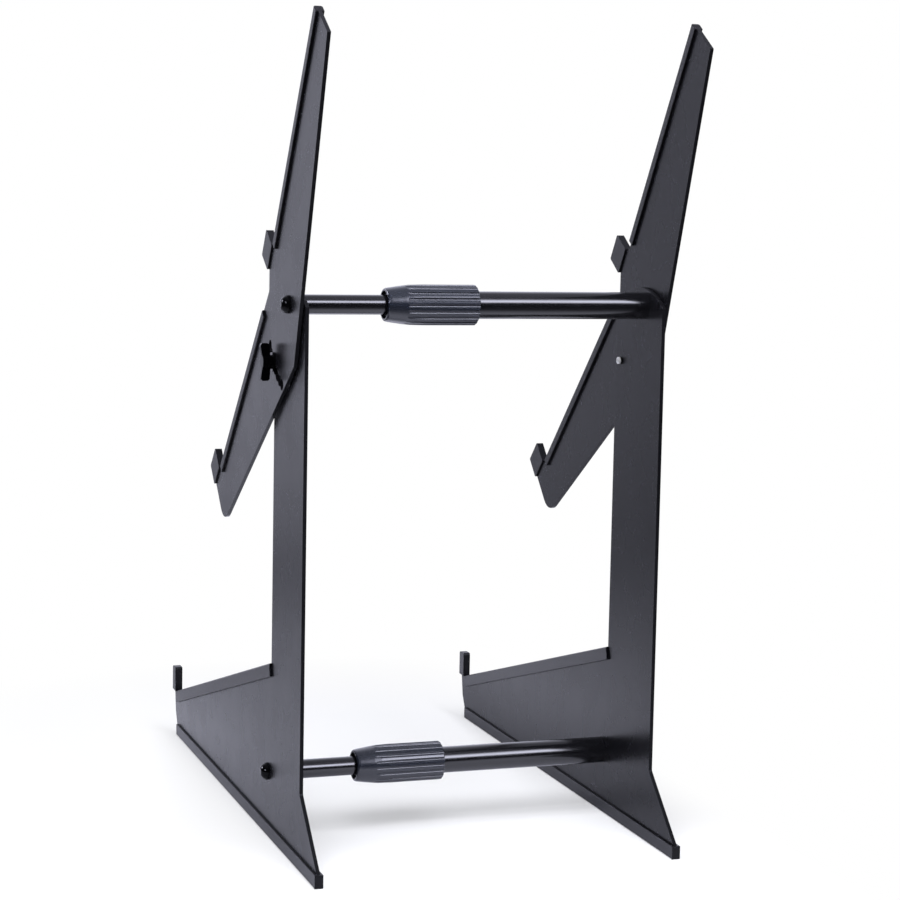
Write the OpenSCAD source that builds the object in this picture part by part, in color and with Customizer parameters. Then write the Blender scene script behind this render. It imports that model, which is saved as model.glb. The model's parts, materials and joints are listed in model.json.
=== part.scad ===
// Desktop studio stand: two side plates, two telescopic crossbars and two tilting tier plates.
// Millimetres, +Z up, floor at z = 0. The hooks point to -Y, the crossbars run along X.
// Outlines of the plates are drawn in (y, z) with the column's rear edge at y = 0.

/* [Side plates] */
// thickness of every steel plate
plate_t = 3; // [2.5:0.5:4]
// clear width between the two side plates in the pose of the photo
inner_w = 300; // [270:10:340]
// depth of the upright column
column_w = 94; // [86:2:110]
// height of the middle of the column's rounded top
column_h = 464; // [440:2:490]
// radius of the column's rounded top
column_top_r = 80; // [65:5:120]
// reach of the foot in front of the column's rear edge
foot_front = 480; // [440:10:520]
// reach of the foot behind the column's rear edge
foot_rear = 56; // [40:2:70]
// height where the column's rear edge turns into the foot
kink_h = 60.5; // [50:0.5:75]
// slope of the lowest tier
shelf_angle = 15.6; // [12:0.1:18]
// height of the lowest tier at the column
shelf_rear_h = 148; // [140:2:160]
// height of the front hook's tip above the floor
front_hook_h = 67; // [62:1:80]

/* [Tier plates] */
// slope of the upper tier
upper_angle = 57; // [50:1:64]
// distance of the upper tier's surface from the pivot
upper_offset = 64.8; // [60:0.2:70]
// distance from the pivot to the top end, along the upper tier
upper_reach = 229.5; // [200:0.5:250]
// width of the plate at its top end
upper_top_w = 39; // [34:1:46]
// slope of the middle tier
lower_angle = 44.7; // [43:0.1:46]
// distance of the middle tier's surface from the pivot
lower_offset = 49.6; // [46:0.2:52]
// distance from the pivot to the lower end, along the middle tier
lower_reach = 300.5; // [290:0.5:310]
// slope of the rear edge under the middle tier
rear_angle = 33.6; // [33:0.1:36]
// height of a hook over the tier's surface
hook_h = 24.5; // [20:0.5:30]
// width of a hook along the tier
hook_w = 22; // [18:0.5:26]

/* [Pivot and tilt stops] */
// pivot behind the column's front edge
pivot_in = 57.5; // [50:0.5:64]
// pivot below the column's top
pivot_down = 15; // [12:0.5:20]
// radius of the arc slot about the pivot
slot_r = 67.8; // [66:0.1:68.5]
// tilt between two neighbouring lobes of the slot
stop_step = 7; // [6.5:0.5:7]
// direction from the pivot to the clamp stud
stud_angle = 226.5; // [225:0.5:227]

/* [Crossbars] */
// outside diameter of the inner tubes
inner_tube_d = 16; // [14:0.5:17]
// outside diameter of the outer tubes
outer_tube_d = 22.5; // [22:0.5:25]
// wall of both tubes
tube_wall = 1.2; // [1:0.1:1.5]
// diameter of the clutch grips
grip_d = 33; // [32:0.5:38]
// length of the clutch grips
grip_l = 77; // [74:1:90]
// length of inner tube that shows beside the clutch
inner_show = 72; // [60:1:80]
// lower crossbar in front of the column's rear edge
lower_bar_y = 103; // [96:1:106]
// height of the lower crossbar
lower_bar_z = 54; // [50:1:60]

/* [Trims and fasteners] */
// width of the trims on the foot and the lowest tier
base_trim_w = 7; // [6:0.5:9]
// depth of the trims on the foot and the lowest tier
base_trim_d = 11; // [9:0.5:13]
// width of the trims on the tilting tiers
tier_trim_w = 7; // [6.5:0.5:8]
// depth of the trims on the tilting tiers
tier_trim_d = 8; // [7:0.5:10]
// thickness of trim that stands over a plate's edge
trim_base = 2; // [1.5:0.5:3]
// wall of the hook caps
cap_wall = 1.5; // [1:0.5:2]
// thread of the crossbar screws
screw_d = 8; // [6:1:8]
// head of the crossbar screws
screw_head_d = 14.7; // [14:0.1:16]
// thread of the clamp studs
stud_d = 6; // [5:1:6]
// reach of a wing of the clamp knobs
wing_r = 15.4; // [13:0.2:18]

/* [Hidden] */

round_fn = 64;
small_fn = 32;
steel_black = [0.13, 0.13, 0.15];
gloss_black = [0.03, 0.03, 0.03];
rubber_grey = [0.08, 0.08, 0.09];
plastic_grey = [0.14, 0.15, 0.18];
zinc_grey = [0.6, 0.6, 0.62];

// clearances
turn_fit = 0.08;
thread_fit = 0.05;
face_gap = 0.1;
free_gap = 0.4;

// x stations, for the side at +X; the other side mirrors them
plate_in = inner_w / 2;
plate_out = plate_in + plate_t;
spacer_t = 1.1;
arm_in = plate_out + spacer_t;
arm_out = arm_in + plate_t;
washer_t = 1.5;
washer_out = arm_out + face_gap + washer_t;

// (y, z) of the axes
pivot = [pivot_in - column_w, column_h - pivot_down];
stud = pivot + slot_r * [cos(stud_angle), sin(stud_angle)];
lower_bar = [-lower_bar_y, lower_bar_z];

// the whole stand is centred on its footprint
front_cap_t = 2;
front_most = -foot_front - front_cap_t;
rear_most = max(foot_rear, pivot[0] + upper_reach * cos(upper_angle)
    - (upper_offset - upper_top_w) * sin(upper_angle));
y_shift = -(front_most + rear_most) / 2;

// crossbar stations along X
grip_mouth_x = plate_in - inner_show;
grip_rim_x = grip_mouth_x - grip_l;
mouth_l = 7;
collet_l = 24;
collet_x = grip_mouth_x - mouth_l - 3;
bush_end_x = collet_x - collet_l;
bush_l = 30;
bush_d = 27;
overlap = 96;
inner_end_x = bush_end_x - overlap;
inner_bore_d = inner_tube_d - 2 * tube_wall;
outer_bore_d = outer_tube_d - 2 * tube_wall;
plug_l = 22;
glide_l = 16;
glide_lip = 2;

// wing knob: x stations count from the washer's outer face
hub_d = 11.5;
hub_l = 8.2;
knob_cap_t = 2;
wing_back = 1.4;
wing_front = 9.8;
wing_t = 4.6;
wing_turn = 5;
stud_show = 3;
stud_key = 3;
stud_key_l = 2.5;
washer_d = 16;

// functions for outlines
function dir(a) = [cos(a), sin(a)];
function unit(v) = v / norm(v);
function at_upper(along, out) = along * dir(upper_angle) + out * dir(upper_angle + 90);
function at_lower(along, out) = along * dir(lower_angle + 180) + out * dir(lower_angle + 90);
function turn(a0, a1) = let (d = a1 - a0) d > 180 ? d - 360 : d < -180 ? d + 360 : d;

// points of the arc of radius r that rounds corner b between a and c
function corner_arc(a, b, c, r) =
    let (u = unit(a - b), v = unit(c - b))
    let (half = acos(u * v) / 2)
    let (centre = b + unit(u + v) * r / sin(half))
    let (p = b + u * r / tan(half) - centre, q = b + v * r / tan(half) - centre)
    let (a0 = atan2(p[1], p[0]), sweep = turn(a0, atan2(q[1], q[0])))
    let (n = max(3, ceil(abs(sweep) / 15)))
    [for (i = [0:n]) centre + r * dir(a0 + sweep * i / n)];

// an outline from [point, radius] pairs
function rounded(list) = let (n = len(list)) [
    for (i = [0:n - 1])
        each list[i][1] > 0
            ? corner_arc(list[(i + n - 1) % n][0], list[i][0], list[(i + 1) % n][0], list[i][1])
            : [list[i][0]]
];

// lowest tier, front hook and toe of the foot
toe = 16;
hook_waist_z = front_hook_h * 0.65;
function shelf_z(y) = shelf_rear_h + (y + column_w) * tan(shelf_angle);
shelf_drop = trim_base / cos(shelf_angle);
prong_t = 8.5;
prong_y = -foot_front + prong_t;
shelf_y = -column_w - trim_base * sin(shelf_angle);
shelf_len = (shelf_y - prong_y - front_cap_t - 1) / cos(shelf_angle);

// column top: an arc about the column's middle, from its rear edge to its front edge
top_sweep = asin(column_w / 2 / column_top_r);
top_arc = [
    for (i = [-6:6])
        [-column_w / 2, column_h - column_top_r]
            + column_top_r * dir(90 + top_sweep * i / 6)
];

side_outline = rounded(concat(
    [
        [[foot_rear - trim_base, trim_base], 0],
        [[foot_rear - trim_base, base_trim_d], 0],
        [[0, kink_h], 4]
    ],
    [for (p = top_arc) [p, 0]],
    [
        [[-column_w, shelf_z(-column_w) - shelf_drop], 0],
        [[prong_y, shelf_z(prong_y) - shelf_drop], 0],
        [[prong_y, front_hook_h - front_cap_t], 1.5],
        [[-foot_front, front_hook_h - front_cap_t], 1.5],
        [[-foot_front, hook_waist_z], 0],
        [[-foot_front + toe / 4, base_trim_d * 2], 0],
        [[-foot_front + toe, trim_base], 0]
    ]
));

// tilting tier plate, drawn about the pivot
middle_trim_top = 62.5;
middle_trim_end = lower_reach - hook_w - 8;
upper_trim_end = 14;
upper_hook_t = 9.5;
vertical_y = column_w - pivot_in + 26;
hook_foot = (vertical_y + (upper_hook_t - hook_w) * cos(upper_angle)) / sin(upper_angle);
bend_z = (lower_offset - vertical_y * sin(lower_angle)) / cos(lower_angle);
upper_rear = at_upper(upper_reach, upper_offset - upper_top_w);
rear_slope = 0.332;
kink_down = 48;
tip_r = 20;
kink_rel = [upper_rear[0] - rear_slope * (upper_rear[1] + kink_down), -kink_down];
tip_run = (lower_reach - kink_rel * dir(lower_angle + 180)) / cos(lower_angle - rear_angle);
tip = kink_rel - tip_run * dir(rear_angle);

tier_outline = rounded([
    [upper_rear, 0.8],
    [at_upper(upper_reach, upper_offset - trim_base), 0],
    [at_upper(upper_trim_end, upper_offset - trim_base), 0],
    [at_upper(upper_trim_end, upper_offset), 0],
    [at_upper(upper_hook_t, upper_offset), 1],
    [at_upper(upper_hook_t, upper_offset + hook_h - cap_wall), 1.5],
    [at_upper(upper_hook_t - hook_w, upper_offset + hook_h - cap_wall), 1.5],
    [at_upper(upper_hook_t - hook_w, hook_foot), 1],
    [[-vertical_y, bend_z], 5],
    [at_lower(middle_trim_top, lower_offset), 0],
    [at_lower(middle_trim_top, lower_offset - trim_base), 0],
    [at_lower(middle_trim_end, lower_offset - trim_base), 0],
    [at_lower(middle_trim_end, lower_offset), 0],
    [at_lower(lower_reach - hook_w, lower_offset), 1],
    [at_lower(lower_reach - hook_w, lower_offset + hook_h - cap_wall), 1.5],
    [at_lower(lower_reach, lower_offset + hook_h - cap_wall), 1.5],
    [tip, tip_r],
    [kink_rel, 4]
]);

// a plate between two x stations, from an outline in (y, z)
module slab(x0, x1) {
    translate([x0, y_shift, 0])
        rotate([90, 0, 90])
            linear_extrude(x1 - x0)
                children();
}

// a round bar along X
module bar(x0, x1, d, at, fn = round_fn) {
    translate([x0, at[0] + y_shift, at[1]])
        rotate([0, 90, 0])
            cylinder(h = x1 - x0, d = d, $fn = fn);
}

// a turned piece along X, profile as [radius, x]
module turned(at) {
    translate([0, at[0] + y_shift, at[1]])
        rotate([90, 0, 90])
            rotate_extrude($fn = round_fn)
                children();
}

module sided(side) {
    if (side > 0) children();
    else mirror([1, 0, 0]) children();
}

// side plate with its pivot hole, crossbar hole and hole for the clinch nut
module side_plate(side) {
    color(steel_black) sided(side) difference() {
        slab(plate_in, plate_out) polygon(side_outline);
        bar(plate_in - 1, plate_out + 1, screw_d, pivot);
        bar(plate_in - 1, plate_out + 1, screw_d, lower_bar);
        bar(plate_in - 1, plate_out + 1, nut_d, stud);
    }
}

// U profile in (width, depth), mouth at the top of the drawing
module trim_profile(w, d, chamfer) {
    polygon([
        [-w / 2, d], [-w / 2, chamfer], [-w / 2 + chamfer, 0],
        [w / 2 - chamfer, 0], [w / 2, chamfer], [w / 2, d],
        [plate_t / 2, d], [plate_t / 2, trim_base],
        [-plate_t / 2, trim_base], [-plate_t / 2, d]
    ]);
}

// a length of trim that starts at point p and runs in direction a, mouth to its left
module trim(x, p, a, len, w, d) {
    translate([x, p[0] + y_shift, p[1]])
        rotate([a, 0, 0])
            rotate([90, 0, 180])
                linear_extrude(len)
                    trim_profile(w, d, 1);
}

module foot_trim(side) {
    color(rubber_grey) sided(side) {
        trim(plate_in + plate_t / 2, [-foot_front + toe, 0], 0,
            foot_front - toe + foot_rear - trim_base, base_trim_w, base_trim_d);
        slab(plate_in + (plate_t - base_trim_w) / 2, plate_in + (plate_t + base_trim_w) / 2)
            polygon([
                [foot_rear - trim_base, 1], [foot_rear - trim_base + 1, 0], [foot_rear - 1, 0],
                [foot_rear, 1], [foot_rear, base_trim_d], [foot_rear - trim_base, base_trim_d]
            ]);
    }
}

module shelf_trim(side) {
    color(rubber_grey) sided(side)
        trim(plate_in + plate_t / 2, [shelf_y, shelf_z(shelf_y)], shelf_angle + 180, shelf_len,
            base_trim_w, base_trim_d);
}

// rubber cap over the front hook, open at its foot
module front_cap(side) {
    x0 = plate_in - (base_trim_w - plate_t) / 2;
    foot_z = shelf_z(prong_y + front_cap_t);
    color(rubber_grey) sided(side) difference() {
        slab(x0, x0 + base_trim_w) polygon(rounded([
            [[-foot_front - front_cap_t, front_hook_h], 2],
            [[-foot_front - front_cap_t, hook_waist_z], 0],
            [[prong_y + front_cap_t, foot_z], 0],
            [[prong_y + front_cap_t, front_hook_h], 2]
        ]));
        slab(plate_in, plate_out) polygon(side_outline);
    }
}

// shank of a crossbar screw with its domed head and hexagon recess
module button_screw(at, head_x, end_x) {
    difference() {
        union() {
            bar(end_x, head_x, screw_d, at);
            turned(at) intersection() {
                translate([0, head_x - dome_r + dome_h]) circle(r = dome_r, $fn = round_fn);
                translate([0, head_x]) square([screw_head_d / 2, dome_h]);
            }
        }
        bar(head_x + dome_h - screw_key_l, head_x + dome_h + 1, screw_key / cos(30), at, 6);
    }
}

// round head: a cap of a sphere
dome_h = 5.2;
dome_r = (pow(screw_head_d / 2, 2) + pow(dome_h, 2)) / (2 * dome_h);
screw_in = 16;
screw_key = 5;
screw_key_l = 3;
spacer_d = 24;
nut_d = 9;

module pivot_screw(side) {
    color(gloss_black) sided(side)
        button_screw(pivot, arm_out + face_gap, plate_in - screw_in);
}

module bar_screw(side) {
    color(gloss_black) sided(side)
        button_screw(lower_bar, plate_out, plate_in - screw_in);
}

// thin friction washer between side plate and tier plate
module pivot_spacer(side) {
    color(plastic_grey) sided(side) difference() {
        bar(plate_out, arm_in - face_gap, spacer_d, pivot);
        bar(plate_out - 1, arm_in + 1, screw_d, pivot);
    }
}

// threaded insert, flush with the plate, that takes the clamp stud
module clinch_nut(side) {
    color(zinc_grey) sided(side) difference() {
        bar(plate_in, plate_out, nut_d, stud);
        bar(plate_in - 1, plate_out + 1, stud_d + 2 * thread_fit, stud);
    }
}

module outer_tube(at) {
    color(gloss_black) difference() {
        bar(-plate_in, bush_end_x, outer_tube_d, at);
        bar(-plate_in - 1, bush_end_x + 1, outer_bore_d, at);
    }
}

module inner_tube(at) {
    color(gloss_black) difference() {
        bar(inner_end_x, plate_in, inner_tube_d, at);
        bar(inner_end_x - 1, plate_in + 1, inner_bore_d, at);
    }
}

// threaded plug in a tube's end, drilled through for the screw
module tube_plug(at, d, side) {
    color(zinc_grey) sided(side) difference() {
        bar(plate_in - plug_l, plate_in, d, at);
        bar(plate_in - plug_l - 1, plate_in + 1, screw_d, at);
    }
}

// nylon guide on the hidden end of the inner tube, running in the outer tube
module glide(at) {
    color(plastic_grey) difference() {
        bar(inner_end_x - glide_lip, inner_end_x + glide_l, outer_bore_d - 2 * turn_fit, at);
        bar(inner_end_x, inner_end_x + glide_l + 1, inner_tube_d, at);
        bar(inner_end_x - glide_lip - 1, inner_end_x + 1, inner_bore_d, at);
    }
}

// threaded sleeve glued on the outer tube; its lip covers the tube's end
bush_lip = 1.5;
module clutch_bush(at) {
    color(plastic_grey) difference() {
        bar(bush_end_x - bush_l, bush_end_x + bush_lip, bush_d, at);
        bar(bush_end_x - bush_l - 1, bush_end_x, outer_tube_d, at);
        bar(bush_end_x - 1, bush_end_x + bush_lip + 1, inner_tube_d + 2 * free_gap, at);
    }
}

// split cone that grips the inner tube when the grip is turned; its fingers end in the grip's mouth
collet_big_r = 12;
collet_small_r = 9.8;
collet_head_l = 4;
collet_nose_l = 7.5;
module collet(at) {
    x0 = bush_end_x + bush_lip;
    x1 = collet_x;
    x2 = collet_x + collet_nose_l;
    slit = 1.2;
    color(plastic_grey) difference() {
        turned(at) polygon([
            [inner_tube_d / 2 + turn_fit, x0], [collet_big_r, x0], [collet_big_r, x0 + collet_head_l],
            [collet_small_r, x1], [collet_small_r, x2], [inner_tube_d / 2 + turn_fit, x2]
        ]);
        for (i = [0:2])
            translate([x0 + collet_head_l + 1, at[0] + y_shift, at[1]])
                rotate([60 * i + 30, 0, 0])
                    translate([0, -grip_d / 2, -slit / 2])
                        cube([collet_l + collet_nose_l, grip_d, slit]);
    }
}

// knurled hand grip of the twist clutch: thread bore, inner cone and open mouth
flutes = 20;
flute_r = 1.7;
flute_land = 17;
rim_chamfer = 0.6;
mouth_flare = 1;
module grip(at) {
    r = grip_d / 2;
    rim = grip_rim_x;
    mouth = grip_mouth_x;
    thread_r = bush_d / 2 + turn_fit;
    cone_x = bush_end_x + bush_lip + free_gap;
    nose_r = collet_small_r + free_gap + 0.2;
    flute_end = mouth - flute_land;
    color(plastic_grey) difference() {
        turned(at) polygon([
            [thread_r + 1, rim], [r - rim_chamfer, rim], [r, rim + rim_chamfer],
            [r, mouth - 32], [r - 0.3, mouth - 21], [r - 0.9, mouth - 15],
            [r - 1.8, mouth - 8.5], [r - 2.6, mouth - 3], [r - 2.9, mouth - 1.4],
            [r - 3.4, mouth - 0.4], [r - 4.1, mouth], [nose_r + mouth_flare, mouth],
            [nose_r, mouth - mouth_l], [nose_r, collet_x],
            [collet_big_r + free_gap, cone_x + collet_head_l], [thread_r, cone_x], [thread_r, rim + 1]
        ]);
        for (i = [0:flutes - 1]) {
            a = 360 * i / flutes;
            p = at + (r + flute_r * 0.35) * dir(a);
            bar(rim - 1, flute_end, 2 * flute_r, p, small_fn);
            translate([flute_end, p[0] + y_shift, p[1]]) sphere(r = flute_r, $fn = small_fn);
        }
    }
}

// slot of overlapping lobes that the clamp stud passes through
first_stop = -2;
last_stop = 4;
lobe_d = stud_d + 3.4;
neck_w = stud_d + 2 * free_gap;
module stop_slot() {
    a0 = stud_angle + first_stop * stop_step;
    a1 = stud_angle + last_stop * stop_step;
    for (i = [first_stop:last_stop])
        bar(arm_in - 1, arm_out + 1, lobe_d,
            pivot + slot_r * dir(stud_angle + i * stop_step), small_fn);
    intersection() {
        difference() {
            bar(arm_in - 1, arm_out + 1, 2 * slot_r + neck_w, pivot);
            bar(arm_in - 2, arm_out + 2, 2 * slot_r - neck_w, pivot);
        }
        slab(arm_in - 1, arm_out + 1) polygon([
            pivot, pivot + 2 * slot_r * dir(a0), pivot + 2 * slot_r * dir((a0 + a1) / 2),
            pivot + 2 * slot_r * dir(a1)
        ]);
    }
}

module tier_plate(side) {
    color(steel_black) sided(side) difference() {
        slab(arm_in, arm_out) translate(pivot) polygon(tier_outline);
        bar(arm_in - 1, arm_out + 1, screw_d + 2 * turn_fit, pivot);
        stop_slot();
    }
}

// trim on a tilting tier; a is the direction of the run
module tier_trim(side, p, a, len) {
    color(rubber_grey) sided(side)
        trim(arm_in + plate_t / 2, pivot + p, a, len, tier_trim_w, tier_trim_d);
}

// the right upper trim is cut shorter at its foot
right_trim_cut = 8;
module upper_trim(side) {
    foot = side > 0 ? upper_trim_end : upper_trim_end + right_trim_cut;
    tier_trim(side, at_upper(upper_reach, upper_offset), upper_angle + 180, upper_reach - foot);
}

module middle_trim(side) {
    tier_trim(side, at_lower(middle_trim_top, lower_offset), lower_angle + 180,
        middle_trim_end - middle_trim_top);
}

// cap over a hook: a block around the prong, cut out by the plate itself
module hook_cap(side, corners) {
    color(rubber_grey) sided(side) difference() {
        slab(arm_in - cap_wall, arm_out + cap_wall)
            translate(pivot) polygon(rounded([for (c = corners) [c, 1.5]]));
        slab(arm_in, arm_out) translate(pivot) polygon(tier_outline);
    }
}

cap_foot = 2.5;
module upper_cap(side) {
    a = upper_hook_t + cap_wall;
    b = upper_hook_t - hook_w - cap_wall;
    hook_cap(side, [
        at_upper(a, upper_offset + cap_foot), at_upper(a, upper_offset + hook_h),
        at_upper(b, upper_offset + hook_h), at_upper(b, upper_offset + cap_foot)
    ]);
}

module middle_cap(side) {
    a = lower_reach - hook_w - cap_wall;
    b = lower_reach + cap_wall;
    hook_cap(side, [
        at_lower(a, lower_offset + cap_foot), at_lower(a, lower_offset + hook_h),
        at_lower(b, lower_offset + hook_h), at_lower(b, lower_offset + cap_foot)
    ]);
}

// wing knob: hub with a blind hole for the stud, two wings that flare outwards
knob_x = washer_out;
stud_end = knob_x + hub_l - knob_cap_t;
wing_outline = rounded([
    [[wing_back, -hub_d / 2], 2], [[wing_back + 0.8, -wing_r], 2.5],
    [[wing_front, -wing_r], 2.5], [[hub_l, -wing_r * 0.35], 4],
    [[hub_l, wing_r * 0.35], 4], [[wing_front, wing_r], 2.5],
    [[wing_back + 0.8, wing_r], 2.5], [[wing_back, hub_d / 2], 2]
]);
module knob(side) {
    color(gloss_black) sided(side) difference() {
        union() {
            bar(knob_x, knob_x + hub_l, hub_d, stud);
            translate([knob_x, stud[0] + y_shift, stud[1]])
                rotate([90 + wing_turn, 0, 0])
                    linear_extrude(wing_t, center = true)
                        polygon(wing_outline);
        }
        bar(knob_x - 1, stud_end, stud_d, stud);
    }
}

module clamp_stud(side) {
    color(zinc_grey) sided(side) difference() {
        bar(plate_in - stud_show, stud_end, stud_d, stud);
        bar(plate_in - stud_show - 1, plate_in - stud_show + stud_key_l, stud_key / cos(30), stud, 6);
    }
}

module knob_washer(side) {
    color(gloss_black) sided(side) difference() {
        bar(arm_out + face_gap, washer_out, washer_d, stud);
        bar(arm_out - 1, washer_out + 1, stud_d + 0.4, stud);
    }
}

side_plate(-1);  // plate_right
foot_trim(-1);  // foot_trim_right
shelf_trim(-1);  // shelf_trim_right
front_cap(-1);  // front_cap_right
pivot_screw(-1);  // pivot_screw_right
pivot_spacer(-1);  // pivot_spacer_right
bar_screw(-1);  // bar_screw_right
clinch_nut(-1);  // clinch_nut_right
outer_tube(pivot);  // outer_tube_upper
outer_tube(lower_bar);  // outer_tube_lower
tube_plug(pivot, outer_bore_d, -1);  // outer_plug_upper
tube_plug(lower_bar, outer_bore_d, -1);  // outer_plug_lower
clutch_bush(pivot);  // clutch_bush_upper
clutch_bush(lower_bar);  // clutch_bush_lower
collet(pivot);  // collet_upper
collet(lower_bar);  // collet_lower
side_plate(1);  // plate_left
foot_trim(1);  // foot_trim_left
shelf_trim(1);  // shelf_trim_left
front_cap(1);  // front_cap_left
pivot_screw(1);  // pivot_screw_left
pivot_spacer(1);  // pivot_spacer_left
bar_screw(1);  // bar_screw_left
clinch_nut(1);  // clinch_nut_left
inner_tube(pivot);  // inner_tube_upper
inner_tube(lower_bar);  // inner_tube_lower
tube_plug(pivot, inner_bore_d, 1);  // inner_plug_upper
tube_plug(lower_bar, inner_bore_d, 1);  // inner_plug_lower
glide(pivot);  // glide_upper
glide(lower_bar);  // glide_lower
tier_plate(-1);  // tier_plate_right
upper_trim(-1);  // upper_trim_right
middle_trim(-1);  // middle_trim_right
upper_cap(-1);  // upper_cap_right
middle_cap(-1);  // middle_cap_right
tier_plate(1);  // tier_plate_left
upper_trim(1);  // upper_trim_left
middle_trim(1);  // middle_trim_left
upper_cap(1);  // upper_cap_left
middle_cap(1);  // middle_cap_left
knob(-1);  // knob_right
clamp_stud(-1);  // stud_right
knob_washer(-1);  // knob_washer_right
knob(1);  // knob_left
clamp_stud(1);  // stud_left
knob_washer(1);  // knob_washer_left
grip(pivot);  // grip_upper
grip(lower_bar);  // grip_lower
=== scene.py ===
"""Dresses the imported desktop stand: finishes, round screw heads, floor, lamp, sky and camera."""

import functools
import json
import math
import operator

import bmesh
import bpy
from bpy.props import FloatProperty, FloatVectorProperty, PointerProperty
from mathutils import Matrix, Vector

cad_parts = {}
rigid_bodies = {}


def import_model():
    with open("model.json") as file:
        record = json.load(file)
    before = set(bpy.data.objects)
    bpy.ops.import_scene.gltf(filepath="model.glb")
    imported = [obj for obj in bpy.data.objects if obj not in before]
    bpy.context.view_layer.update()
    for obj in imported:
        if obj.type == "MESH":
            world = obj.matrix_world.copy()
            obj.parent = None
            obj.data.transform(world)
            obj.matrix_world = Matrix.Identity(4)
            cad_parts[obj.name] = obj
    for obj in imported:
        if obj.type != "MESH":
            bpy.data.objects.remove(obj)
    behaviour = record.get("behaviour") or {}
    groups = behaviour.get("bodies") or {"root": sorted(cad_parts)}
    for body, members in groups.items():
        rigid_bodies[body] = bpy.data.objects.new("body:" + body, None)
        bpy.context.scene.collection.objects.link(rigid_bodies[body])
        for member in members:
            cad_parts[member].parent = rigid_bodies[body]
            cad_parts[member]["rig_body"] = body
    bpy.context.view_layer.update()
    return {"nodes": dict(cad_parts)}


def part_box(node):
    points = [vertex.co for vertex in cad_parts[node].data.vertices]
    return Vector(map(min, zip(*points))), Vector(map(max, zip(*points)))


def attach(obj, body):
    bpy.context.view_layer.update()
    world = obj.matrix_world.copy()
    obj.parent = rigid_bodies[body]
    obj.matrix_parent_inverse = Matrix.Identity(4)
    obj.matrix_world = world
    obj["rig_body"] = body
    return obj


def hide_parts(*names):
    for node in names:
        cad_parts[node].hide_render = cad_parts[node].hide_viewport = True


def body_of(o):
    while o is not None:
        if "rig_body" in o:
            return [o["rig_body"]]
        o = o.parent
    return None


bl_info = {
    "name": "Desktop Stand",
    "version": (1, 0, 0),
    "blender": (4, 5, 0),
    "location": "View3D > Sidebar > Stand",
    "description": "Finishes and round screw heads for a three-tier desktop stand",
    "category": "Object",
}

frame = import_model()

SIDES = ("right", "left")
LEVELS = ("upper", "lower")

WHITE = (1.0, 1.0, 1.0)
INK = (0.0006, 0.0006, 0.0009)

TURN_STEPS = 48
DOME_STEPS = 12
FLOOR_STEPS = 96
MERGE_DISTANCE = 1e-6  # metres
SMOOTH_ANGLE = math.radians(40.0)

NOISE_SPAN = (0.3, 0.7)
EDGE_SAMPLES = 4

PHOTO_WIDTH = 900  # pixels
SENSOR_WIDTH = 36.0  # millimetres
VIEW_END = 50.0  # metres

# Zones of the floor, in metres: where its own shading is seen, its bright middle between the
# feet, and where gloss sees it. Each fade is the value it follows, where it starts and ends, and
# what it goes from and to if not 0 and 1.
SHADED = (("distance", 0.3, 0.6, 1.0, 0.0), ("X", 0.14, 0.17, 1.0, 0.6), ("X", -0.26, -0.16))
MIDDLE = (("X", -0.14, -0.02), ("X", 0.0, 0.25, 1.0, 0.0), ("Y", 0.1, -0.25))
MIRRORED = (("distance", 0.8, 1.4, 1.0, 0.6), ("Y", 0.35, 0.75, 1.0, 0.1))

# Zones of the sky that gloss sees, in the same way, by the parts of a ray's direction. The
# backdrop starts and ends along Y, and the sweep is its light.
BACKDROP = (-0.35, -0.8)
SWEEP = (("Z", -0.15, -0.10, 0.82, 1.42), ("Z", 0.02, 0.16, 1.0, 1.2), ("X", 0.28, 0.42, 1.0, 0.8))
SOFTBOX = (("Z", 0.33, 0.47), ("Z", 0.76, 0.58), ("Y", 0.2, 0.5),
           ("X", -0.6, -0.48), ("X", -0.02, -0.16))
WINDOW = (("X", 0.66, 0.70), ("X", 0.84, 0.80), ("Z", 0.28, 0.32), ("Z", 0.50, 0.46))
CEILING = (("Z", 0.6, 0.9),)


def sided(*stems):
    """Node names on both sides of the stand."""
    return [f"{stem}_{side}" for stem in stems for side in SIDES]


def levelled(*stems):
    """Node names on both crossbars."""
    return [f"{stem}_{level}" for stem in stems for level in LEVELS]


# Shader maths

class Wire:
    """A socket whose arithmetic adds Math nodes."""

    def __init__(self, graph, socket):
        self.graph = graph
        self.socket = socket

    def _maths(self, operation, a, b):
        return self.graph.add("ShaderNodeMath", {"operation": operation}, {0: a, 1: b})

    def __add__(self, other):
        return self._maths("ADD", self, other)

    __radd__ = __add__

    def __sub__(self, other):
        return self._maths("SUBTRACT", self, other)

    def __rsub__(self, other):
        return self._maths("SUBTRACT", other, self)

    def __mul__(self, other):
        return self._maths("MULTIPLY", self, other)

    __rmul__ = __mul__


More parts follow.
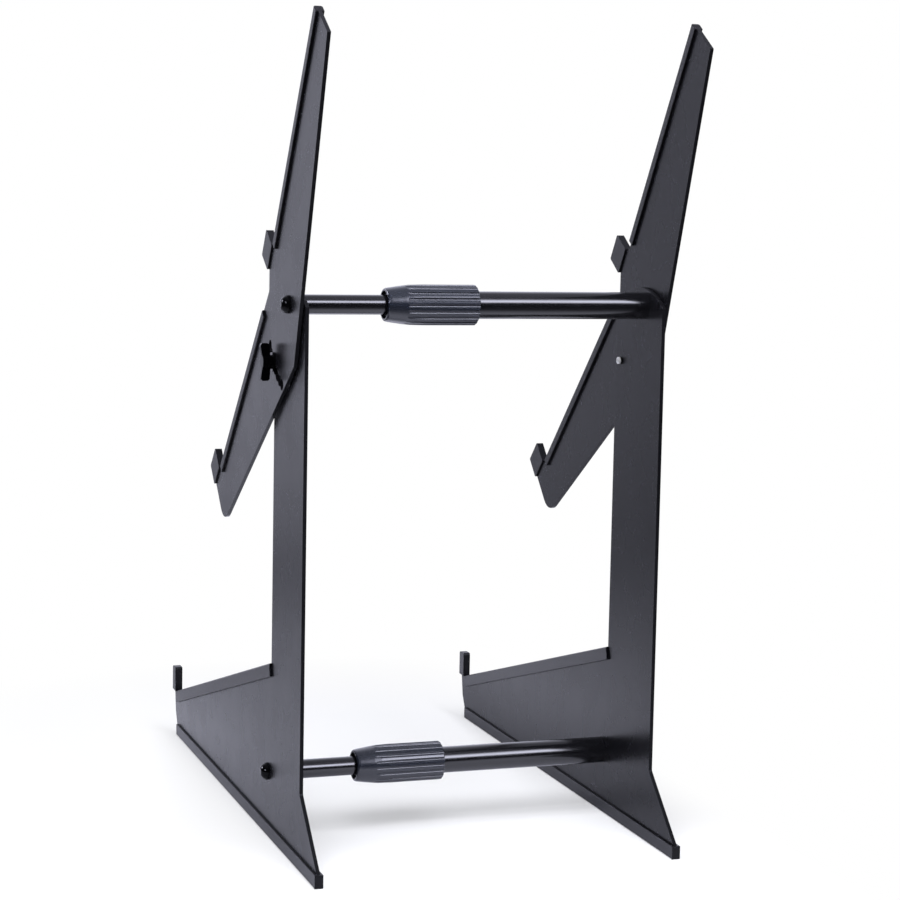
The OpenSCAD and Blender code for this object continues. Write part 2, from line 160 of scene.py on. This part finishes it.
class Graph:
    """The nodes of one material or world, built by value."""

    def __init__(self, owner):
        self.owner = owner
        owner.use_nodes = True
        self.tree = owner.node_tree
        self.tree.nodes.clear()

    @classmethod
    def material(cls, name):
        """The graph of a new material."""
        return cls(bpy.data.materials.new(name))

    def add(self, kind, settings=None, inputs=None, output=0):
        """One node: its settings first, then the values or links of its sockets."""
        node = self.tree.nodes.new(kind)
        for key, value in (settings or {}).items():
            setattr(node, key, value)
        for key, value in (inputs or {}).items():
            if isinstance(value, Wire):
                self.tree.links.new(value.socket, node.inputs[key])
            else:
                node.inputs[key].default_value = value
        return Wire(self, node.outputs[output]) if node.outputs else None

    def place(self):
        """Object coordinates, in metres."""
        return self.add("ShaderNodeTexCoord", output="Object")

    def axes(self, vector, names="XYZ"):
        """Parts of a vector, by the names of their axes."""
        return {name: self.add("ShaderNodeSeparateXYZ", None, {0: vector}, output=name)
                for name in names}

    def noise(self, size, detail, where=None):
        """Noise from 0 to 1 whose grains are about size metres."""
        return self.add("ShaderNodeTexNoise", None,
                        {"Vector": where or self.place(), "Scale": 1.0 / size, "Detail": detail})

    def ramp(self, value, low, high, to_low=0.0, to_high=1.0):
        """value mapped from one range to another, clamped."""
        return self.add("ShaderNodeMapRange", None,
                        {"Value": value, "From Min": low, "From Max": high,
                         "To Min": to_low, "To Max": to_high})

    def spread(self, noise, low, high):
        """Noise stretched so that it runs from low to high."""
        return self.ramp(noise, *NOISE_SPAN, low, high)

    def zone(self, values, fades):
        """The product of fades, each the name of a value and the ramp that it goes through."""
        ramps = [self.ramp(values[name], *span) for name, *span in fades]
        return functools.reduce(operator.mul, ramps)

    def mix(self, factor, a, b):
        """Colour a where factor is 0, b where it is 1."""
        ends = [c if isinstance(c, Wire) else opaque(c) for c in (a, b)]
        return self.add("ShaderNodeMix", {"data_type": "RGBA"},
                        {0: factor, 6: ends[0], 7: ends[1]}, output=2)

    def bump(self, height, depth, edge=0.0):
        """Normal of a relief whose height runs from 0 to 1 over depth metres, with sharp edges
        rounded to edge metres."""
        inputs = {"Strength": 1.0, "Distance": depth, "Height": height}
        if edge:
            inputs["Normal"] = self.add("ShaderNodeBevel", {"samples": EDGE_SAMPLES},
                                        {"Radius": edge})
        return self.add("ShaderNodeBump", None, inputs)

    def finish(self, **sockets):
        """The surface shader; a name's underscores stand for spaces."""
        inputs = {name.replace("_", " "): value for name, value in sockets.items()}
        self.surface(self.add("ShaderNodeBsdfPrincipled", None, inputs))
        return self.owner

    def surface(self, shader, output="Material"):
        """Connects shader to the output of the material or world."""
        self.add(f"ShaderNodeOutput{output}", None, {"Surface": shader})

    def ray(self, kind):
        """1 for the light paths of this kind, such as Camera."""
        return self.add("ShaderNodeLightPath", output=f"Is {kind} Ray")


def opaque(colour):
    """A colour socket's value."""
    return (*colour, 1.0)


def lighter(colour, gain):
    """The colour with each channel times gain."""
    return [gain * channel for channel in colour]


# Finishes

def powder_coat(look, name="powder_coat", shine=1.0):
    """Satin black powder coat on laser-cut sheet: fine orange peel, faint cloudiness."""
    g = Graph.material(name)
    cloud = g.noise(size=0.09, detail=3.0)
    peel = g.noise(size=0.0022, detail=2.0)
    colour = g.mix(g.ramp(cloud, 0.35, 0.65), look.coat_dark, look.coat_light)
    rough, vary = look.coat_roughness, look.coat_variation
    gloss = g.spread(g.noise(size=0.03, detail=4.0), rough - vary, rough + vary)
    return g.finish(Base_Color=colour, Roughness=gloss,
                    Normal=g.bump(peel, depth=0.000002, edge=0.0004),
                    Specular_IOR_Level=shine * look.coat_specular)


def tier_coat(look):
    """The same coat on the tilting plates, a touch glossier."""
    return powder_coat(look, "tier_coat", look.tier_shine)


def gloss_paint(look):
    """Smooth gloss black on the drawn tubes, with faint streaks along them."""
    g = Graph.material("gloss_tube")
    drawn = g.add("ShaderNodeMapping", None, {"Vector": g.place(), "Scale": (0.08, 1.0, 1.0)})
    streak = g.noise(size=0.0012, detail=2.0, where=drawn)
    rough, vary = look.tube_roughness, look.tube_variation
    gloss = g.spread(streak, rough, rough + vary)
    colour = g.mix(streak, (0.003, 0.003, 0.004), (0.006, 0.006, 0.008))
    return g.finish(Base_Color=colour, Roughness=gloss, Normal=g.bump(streak, depth=0.000004),
                    Specular_IOR_Level=look.tube_specular)


def black_screw(look):
    """Blackened screw heads and washers with a thin film of oil."""
    g = Graph.material("black_screw")
    grain = g.noise(size=0.0007, detail=3.0)
    colour = g.mix(grain, INK, (0.002, 0.002, 0.0025))
    return g.finish(Base_Color=colour, Roughness=g.spread(grain, 0.05, 0.10),
                    Normal=g.bump(grain, depth=0.000003, edge=0.0003), Specular_IOR_Level=0.07)


def rubber(look):
    """Extruded rubber trim and moulded caps: dull, dusty in the pores."""
    g = Graph.material("rubber")
    pores = g.noise(size=0.0006, detail=3.0)
    dust = g.ramp(g.noise(size=0.018, detail=4.0), 0.4, 0.75)
    colour = g.mix(dust, look.rubber, lighter(look.rubber, 1.8))
    return g.finish(Base_Color=colour, Roughness=g.spread(pores, 0.36, 0.46),
                    Normal=g.bump(pores, depth=0.00001, edge=0.0012), Specular_IOR_Level=0.17)


def grip_plastic(look):
    """Spark-eroded satin plastic of the clutch grips."""
    g = Graph.material("grip_plastic")
    spark = g.noise(size=0.0005, detail=2.0)
    colour = g.mix(g.spread(spark, 0.0, 1.0), look.grip, lighter(look.grip, 1.35))
    return g.finish(Base_Color=colour, Roughness=g.spread(spark, 0.22, 0.28),
                    Normal=g.bump(spark, depth=0.00001, edge=0.0003), Specular_IOR_Level=0.65)


def inner_plastic(look):
    """Plain nylon of spacers, bushes, collets and glides."""
    g = Graph.material("inner_plastic")
    grain = g.noise(size=0.0015, detail=2.0)
    colour = g.mix(grain, (0.030, 0.032, 0.038), (0.052, 0.055, 0.062))
    return g.finish(Base_Color=colour, Roughness=g.spread(grain, 0.42, 0.52),
                    Normal=g.bump(grain, depth=0.00001, edge=0.0003))


def knob_plastic(look):
    """Gloss black moulded knob with slight sink marks and scuffs."""
    g = Graph.material("knob_plastic")
    sink = g.noise(size=0.006, detail=1.0)
    scuff = g.ramp(g.noise(size=0.0009, detail=5.0), 0.58, 0.75)
    colour = g.mix(scuff, INK, (0.003, 0.003, 0.0035))
    return g.finish(Base_Color=colour, Roughness=g.ramp(scuff, 0.0, 1.0, 0.16, 0.30),
                    Normal=g.bump(sink, depth=0.0001, edge=0.0008), Specular_IOR_Level=0.03)


def zinc_steel(look):
    """Steel of the clamp studs: bright at the inner end, and past it painted near black as shade.
    """
    g = Graph.material("zinc_steel")
    grain = g.noise(size=0.0008, detail=4.0)
    inward = g.add("ShaderNodeMath", {"operation": "ABSOLUTE"}, {0: g.axes(g.place(), "X")["X"]})
    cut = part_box("stud_left")[0][0] + look.bright_end
    # Painted shade: past the bright end the stud is coloured near black and is not metal, for the
    # shade along its side.
    painted_shade = g.ramp(inward, cut, cut + 0.0001)
    bright = g.mix(grain, (0.66, 0.66, 0.68), (0.80, 0.80, 0.82))
    colour = g.mix(painted_shade, bright, (0.001, 0.001, 0.0015))
    metal = 0.45
    return g.finish(Base_Color=colour, Metallic=metal - metal * painted_shade,
                    Roughness=g.spread(grain, 0.35, 0.45),
                    Normal=g.bump(grain, depth=0.00001), Specular_IOR_Level=0.1)


def plug_alloy(look):
    """Turned light alloy of the tube plugs."""
    g = Graph.material("plug_alloy")
    grain = g.noise(size=0.0006, detail=3.0)
    colour = g.mix(grain, (0.42, 0.42, 0.44), (0.56, 0.56, 0.58))
    return g.finish(Base_Color=colour, Metallic=1.0, Roughness=g.spread(grain, 0.3, 0.42),
                    Normal=g.bump(grain, depth=0.000008))


FINISHES = {
    powder_coat: sided("plate", "clinch_nut"),
    tier_coat: sided("tier_plate"),
    gloss_paint: levelled("outer_tube", "inner_tube"),
    black_screw: sided("pivot_screw", "bar_screw", "knob_washer"),
    rubber: sided("foot_trim", "shelf_trim", "front_cap", "upper_trim", "middle_trim",
                  "upper_cap", "middle_cap"),
    grip_plastic: levelled("grip"),
    inner_plastic: sided("pivot_spacer") + levelled("clutch_bush", "collet", "glide"),
    knob_plastic: sided("knob"),
    zinc_steel: sided("stud"),
    plug_alloy: levelled("outer_plug", "inner_plug"),
}


# Modelling helpers

def dress(obj, material):
    """Gives every material slot of obj this material."""
    if not obj.material_slots:
        obj.data.materials.append(material)
    for entry in obj.material_slots:
        entry.material = material


def axis_of(name, side):
    """Middle of a node's outer end, the way out along X, its length and its largest radius."""
    low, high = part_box(name)
    out = 1 if side == "left" else -1
    end = high[0] if out > 0 else low[0]
    middle = Vector((end, (low[1] + high[1]) / 2, (low[2] + high[2]) / 2))
    return middle, out, high[0] - low[0], (high[2] - low[2]) / 2


def turn(bm, points):
    """Turns a profile of (height, radius) points about X into a skin open at its first ring."""
    verts = [bm.verts.new((height, 0.0, radius)) for height, radius in points]
    edges = [bm.edges.new(pair) for pair in zip(verts, verts[1:])]
    bmesh.ops.spin(bm, geom=verts + edges, cent=(0, 0, 0), axis=(1, 0, 0), angle=math.tau,
                   steps=TURN_STEPS, use_merge=True)
    bmesh.ops.remove_doubles(bm, verts=bm.verts, dist=MERGE_DISTANCE)


def close(bm):
    """Fills the open ends and gives the new faces."""
    open_edges = [edge for edge in bm.edges if edge.is_boundary]
    return bmesh.ops.holes_fill(bm, edges=open_edges, sides=0)["faces"]


def new_object(name, bm):
    """An object in the scene with the mesh of bm, which is freed."""
    mesh = bpy.data.meshes.new(name)
    bm.to_mesh(mesh)
    bm.free()
    obj = bpy.data.objects.new(name, mesh)
    bpy.context.collection.objects.link(obj)
    return obj


def new_piece(name, bm, host):
    """A finished mesh piece that takes its material and its body from the node host."""
    bmesh.ops.remove_doubles(bm, verts=bm.verts, dist=MERGE_DISTANCE)
    bmesh.ops.recalc_face_normals(bm, faces=bm.faces)
    obj = new_object(name, bm)
    for face in obj.data.polygons:
        face.use_smooth = True
    obj.data.set_sharp_from_angle(angle=SMOOTH_ANGLE)
    dress(obj, host.material_slots[0].material)
    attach(obj, body_of(host)[0])
    return obj


# Sizes and colours

class StandLook(bpy.types.PropertyGroup):
    """Colours and gloss of the finishes"""
    coat_dark: FloatVectorProperty(
        name="Coat dark", description="Darkest tone of the powder coat", subtype="COLOR",
        default=(0.0050, 0.0050, 0.0065))
    coat_light: FloatVectorProperty(
        name="Coat light", description="Lightest tone of the powder coat", subtype="COLOR",
        default=(0.0075, 0.0075, 0.0095))
    coat_roughness: FloatProperty(
        name="Coat roughness", description="Roughness of the powder coat", subtype="FACTOR",
        default=0.27)
    coat_variation: FloatProperty(
        name="Coat variation", description="How far the coat's roughness varies either way",
        subtype="FACTOR", default=0.02)
    coat_specular: FloatProperty(
        name="Coat specular", description="Specular level of the powder coat", subtype="FACTOR",
        default=0.07)
    tier_shine: FloatProperty(
        name="Tier shine",
        description="Specular level of the tilting plates over that of the columns", default=1.1)
    tube_roughness: FloatProperty(
        name="Tube roughness", description="Least roughness of the tubes' paint",
        subtype="FACTOR", default=0.16)
    tube_variation: FloatProperty(
        name="Tube variation", description="How far the streaks add to the tubes' roughness",
        subtype="FACTOR", default=0.05)
    tube_specular: FloatProperty(
        name="Tube specular", description="Specular level of the tubes' paint", subtype="FACTOR",
        default=0.65)
    rubber: FloatVectorProperty(
        name="Rubber", description="Colour of trims and caps", subtype="COLOR",
        default=(0.0015, 0.0015, 0.0022))
    # Past the studs' bright end their colour is painted shade.
    bright_end: FloatProperty(
        name="Bright end", description="Length of the clamp studs' bright end", unit="LENGTH",
        default=0.0016)
    grip: FloatVectorProperty(
        name="Grip", description="Colour of the clutch grips", subtype="COLOR",
        default=(0.009, 0.011, 0.018))


class StandScrew(bpy.types.PropertyGroup):
    """Sizes of the crossbar screws"""
    seat: FloatProperty(
        name="Seat", description="From the top of a solid's head down to its seat",
        unit="LENGTH", default=0.0052)
    height: FloatProperty(
        name="Height", description="Height of the round head", unit="LENGTH", default=0.0074)
    rim: FloatProperty(
        name="Rim", description="Height of the head's straight rim", unit="LENGTH",
        default=0.0007)
    shank: FloatProperty(
        name="Shank", description="Diameter of the shank", unit="LENGTH", default=0.008)
    key: FloatProperty(
        name="Key", description="Width of the hexagon recess across its flats", unit="LENGTH",
        default=0.005)
    key_depth: FloatProperty(
        name="Key depth", description="Depth of the hexagon recess", unit="LENGTH",
        default=0.003)


class StandShot(bpy.types.PropertyGroup):
    """Camera, lamp, floor and what gloss mirrors"""
    place: FloatVectorProperty(
        name="Camera place", description="Where the camera stands", subtype="TRANSLATION",
        unit="LENGTH", default=(0.60696, 1.88837, 0.53253))
    azimuth: FloatProperty(
        name="Azimuth", description="Direction to the camera about Z, from -Y", unit="ROTATION",
        default=math.radians(161.10))
    pitch: FloatProperty(
        name="Pitch", description="How far the camera looks down", unit="ROTATION",
        default=math.radians(6.26))
    roll: FloatProperty(
        name="Roll", description="Turn of the camera about its view", unit="ROTATION",
        default=math.radians(1.134))
    focal: FloatProperty(
        name="Focal length", description="In widths of the picture",
        default=2233.1 / PHOTO_WIDTH)
    centre: FloatVectorProperty(
        name="Optical centre", description="In widths of the picture, from its middle", size=2,
        default=(0.66 / PHOTO_WIDTH, -3.53 / PHOTO_WIDTH))
    lamp_place: FloatVectorProperty(
        name="Lamp place", description="Where the square lamp hangs", subtype="TRANSLATION",
        unit="LENGTH", default=(0.25, 0.9, 1.8))
    lamp_target: FloatVectorProperty(
        name="Lamp target", description="What the lamp faces", subtype="TRANSLATION",
        unit="LENGTH", default=(0.0, 0.1, 0.0))
    lamp_size: FloatProperty(
        name="Lamp size", description="Side of the lamp", unit="LENGTH", default=1.9)
    lamp_power: FloatProperty(
        name="Lamp power", description="Power of the lamp", unit="POWER", default=68.0)
    floor_radius: FloatProperty(
        name="Floor radius", description="Radius of the floor", unit="LENGTH", default=1.5)
    paper: FloatVectorProperty(
        name="Paper", description="Colour of the floor", subtype="COLOR",
        default=(0.90, 0.91, 0.96))
    paper_share: FloatProperty(
        name="Paper share", description="How much of the floor's own shading is seen",
        subtype="FACTOR", default=0.75)
    sky: FloatProperty(
        name="Sky", description="Strength of the even light all round", default=0.15)
    floor_lift: FloatProperty(
        name="Floor lift", description="How much brighter gloss sees the whole floor",
        default=0.15)
    floor_middle: FloatProperty(
        name="Floor middle", description="How much brighter gloss sees the floor between the feet",
        default=1.4)
    ceiling: FloatProperty(
        name="Ceiling", description="How bright gloss sees the ceiling", default=0.6)
    room: FloatProperty(
        name="Room", description="How bright gloss sees the room behind the camera", default=0.04)
    softbox: FloatProperty(
        name="Softbox", description="How bright gloss sees the long softbox over the camera",
        default=15.0)
    window: FloatProperty(
        name="Window", description="How bright gloss sees a small window at the left",
        default=55.0)
    cool: FloatVectorProperty(
        name="Cool", description="Tint of what gloss mirrors", subtype="COLOR",
        default=(0.83, 0.84, 1.0))


# Operators

class STAND_OT_finishes(bpy.types.Operator):
    """Gives every solid its finish"""
    bl_idname = "stand.finishes"
    bl_label = "Finishes"
    bl_options = {"REGISTER"}

    def execute(self, context):
        look = context.scene.stand_look
        for make, names in FINISHES.items():
            material = make(look)
            for name in names:
                dress(frame["nodes"][name], material)
        return {"FINISHED"}


class STAND_OT_screws(bpy.types.Operator):
    """Gives the crossbar screws the photograph's nearly half-round heads"""
    bl_idname = "stand.screws"
    bl_label = "Screws"
    bl_options = {"REGISTER"}

    def execute(self, context):
        for stem in ("pivot_screw", "bar_screw"):
            for side in SIDES:
                self.screw(context.scene.stand_screw, f"{stem}_{side}", side)
        return {"FINISHED"}

    def screw(self, size, node, side):
        """A turned screw with a hexagon recess in its head, in the place of the node."""
        top, out, length, radius = axis_of(node, side)
        bm = bmesh.new()
        turn(bm, self.outline(size, radius, length - size.seat))
        self.recess(bm, size)
        seat = top - Vector((out * size.seat, 0, 0))
        to_side = Matrix.Translation(seat) @ Matrix.Diagonal((out, 1, 1, 1))
        bmesh.ops.transform(bm, verts=bm.verts, matrix=to_side)
        piece = new_piece(f"round_{node}", bm, frame["nodes"][node])
        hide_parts(node)

    @staticmethod
    def outline(size, radius, length):
        """(height, radius) points from the recess over the round head to the shank's end."""
        start = math.asin(size.key / math.sqrt(3) / radius)
        angles = [start + (math.pi / 2 - start) * i / DOME_STEPS for i in range(DOME_STEPS + 1)]
        rise = size.height - size.rim
        dome = [(size.rim + rise * math.cos(a), radius * math.sin(a)) for a in angles]
        shank = size.shank / 2
        return dome + [(0.0, radius), (0.0, shank), (-length, shank), (-length, 0.0)]

    @staticmethod
    def recess(bm, size):
        """Presses the open ring into a hexagon, closes it and sinks it into the head."""
        half_side = math.pi / 6
        for vert in [vert for vert in bm.verts if vert.is_boundary]:
            bearing = math.atan2(vert.co.z, vert.co.y)
            from_flat = (bearing + half_side) % (2 * half_side) - half_side
            reach = size.key / 2 / math.cos(from_flat)
            vert.co.y, vert.co.z = reach * math.cos(bearing), reach * math.sin(bearing)
        floor = bmesh.ops.extrude_face_region(bm, geom=close(bm))["geom"]
        bmesh.ops.translate(bm, vec=(-size.key_depth, 0, 0),
                            verts=[item for item in floor if isinstance(item, bmesh.types.BMVert)])


class STAND_OT_stage(bpy.types.Operator):
    """Adds the floor, the sky, the lamp and the camera"""
    bl_idname = "stand.stage"
    bl_label = "Stage"
    bl_options = {"REGISTER"}

    def execute(self, context):
        shot = context.scene.stand_shot
        self.floor(shot)
        self.sky(context.scene, shot)
        self.lamp(shot)
        self.camera(context.scene, shot)
        context.scene.view_settings.view_transform = "Standard"
        return {"FINISHED"}

    @staticmethod
    def floor(shot):
        """A round floor whose colour turns to plain white away from the object."""
        bm = bmesh.new()
        bmesh.ops.create_circle(bm, cap_ends=True, segments=FLOOR_STEPS, radius=shot.floor_radius)
        obj = new_object("floor", bm)
        g = Graph.material("floor_paper")
        distance = g.add("ShaderNodeVectorMath", {"operation": "LENGTH"}, {0: g.place()},
                         output="Value")
        where = {"distance": distance, **g.axes(g.place(), "XY")}
        white_share = 1.0 - shot.paper_share * g.zone(where, SHADED)
        lift = shot.floor_lift + shot.floor_middle * g.zone(where, MIDDLE)
        reach = g.zone(where, MIRRORED)
        colour = g.mix(g.ray("Glossy"), shot.paper, shot.cool)
        paper = g.add("ShaderNodeBsdfDiffuse", None, {"Color": colour})
        white = g.add("ShaderNodeEmission", None, {"Color": opaque(WHITE), "Strength": 1.0})
        extra = g.add("ShaderNodeEmission", None, {"Color": opaque(shot.cool), "Strength": lift})
        lit = g.add("ShaderNodeAddShader", None, {0: paper, 1: extra})
        mirrored = g.add("ShaderNodeMixShader", None, {0: reach, 2: lit})
        shown = white_share * (g.ray("Camera") + g.ray("Transmission"))
        seen = g.add("ShaderNodeMixShader", None, {0: shown, 1: paper, 2: white})
        g.surface(g.add("ShaderNodeMixShader", None, {0: g.ray("Glossy"), 1: seen, 2: mirrored}))
        dress(obj, g.owner)

    @staticmethod
    def sky(scene, shot):
        """Even light, seen as plain white; gloss mirrors a white backdrop, a dim room, a soft
        ceiling, a small window and a long softbox."""
        scene.world = bpy.data.worlds.new("studio")
        g = Graph(scene.world)
        where = g.axes(g.add("ShaderNodeTexCoord", output="Generated"))
        backdrop = g.ramp(where["Y"], *BACKDROP) * g.zone(where, SWEEP)
        strength = (backdrop + g.ramp(where["Y"], *BACKDROP, shot.room, 0.0)
                    + shot.ceiling * g.zone(where, CEILING)
                    + shot.window * g.zone(where, WINDOW)
                    + shot.softbox * g.zone(where, SOFTBOX))
        light, seen, mirrored = (
            g.add("ShaderNodeBackground", None, {"Color": opaque(colour), "Strength": level})
            for colour, level in ((WHITE, shot.sky), (WHITE, 1.0), (shot.cool, strength)))
        lit = g.add("ShaderNodeMixShader", None, {0: g.ray("Glossy"), 1: light, 2: mirrored})
        shown = g.ray("Camera") + g.ray("Transmission")
        g.surface(g.add("ShaderNodeMixShader", None, {0: shown, 1: lit, 2: seen}), "World")

    @staticmethod
    def lamp(shot):
        """A square lamp, which gloss doesn't mirror."""
        data = bpy.data.lights.new("top_lamp", "AREA")
        data.size = shot.lamp_size
        data.energy = shot.lamp_power
        obj = bpy.data.objects.new("top_lamp", data)
        place = Vector(shot.lamp_place)
        facing = (Vector(shot.lamp_target) - place).to_track_quat("-Z", "Y")
        obj.matrix_world = Matrix.Translation(place) @ facing.to_matrix().to_4x4()
        obj.visible_glossy = False
        bpy.context.collection.objects.link(obj)

    @staticmethod
    def camera(scene, shot):
        """The camera at the photograph's place and angle."""
        back = Vector((
            math.sin(shot.azimuth) * math.cos(shot.pitch),
            -math.cos(shot.azimuth) * math.cos(shot.pitch),
            math.sin(shot.pitch),
        ))
        right = (-back).cross(Vector((0.0, 0.0, 1.0))).normalized()
        up = right.cross(-back)
        tilted_right = right * math.cos(shot.roll) + up * math.sin(shot.roll)
        tilted_up = up * math.cos(shot.roll) - right * math.sin(shot.roll)
        data = bpy.data.cameras.new("camera")
        data.sensor_width = SENSOR_WIDTH
        data.lens = SENSOR_WIDTH * shot.focal
        data.shift_x = -shot.centre[0]
        data.shift_y = shot.centre[1]
        data.clip_end = VIEW_END
        obj = bpy.data.objects.new("camera", data)
        matrix = Matrix((tilted_right, tilted_up, back)).transposed().to_4x4()
        matrix.translation = Vector(shot.place)
        obj.matrix_world = matrix
        bpy.context.collection.objects.link(obj)
        scene.camera = obj


class STAND_PT_panel(bpy.types.Panel):
    """Lists the steps and the sizes of the stand"""
    bl_idname = "STAND_PT_panel"
    bl_label = "Desktop Stand"
    bl_space_type = "VIEW_3D"
    bl_region_type = "UI"
    bl_category = "Stand"

    def draw(self, context):
        for step in STEPS:
            self.layout.operator(step.bl_idname)
        for group in GROUPS:
            settings = getattr(context.scene, group)
            for name in settings.__annotations__:
                self.layout.prop(settings, name)


GROUPS = {"stand_look": StandLook, "stand_screw": StandScrew, "stand_shot": StandShot}
STEPS = (STAND_OT_finishes, STAND_OT_screws, STAND_OT_stage)
CLASSES = (*GROUPS.values(), *STEPS, STAND_PT_panel)


def register():
    for cls in CLASSES:
        bpy.utils.register_class(cls)
    for name, group in GROUPS.items():
        setattr(bpy.types.Scene, name, PointerProperty(type=group))


def unregister():
    for name in GROUPS:
        delattr(bpy.types.Scene, name)
    for cls in reversed(CLASSES):
        bpy.utils.unregister_class(cls)


def main():
    """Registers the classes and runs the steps."""
    register()
    for step in STEPS:
        area, name = step.bl_idname.split(".")
        getattr(getattr(bpy.ops, area), name)()


if __name__ == "__main__":
    main()
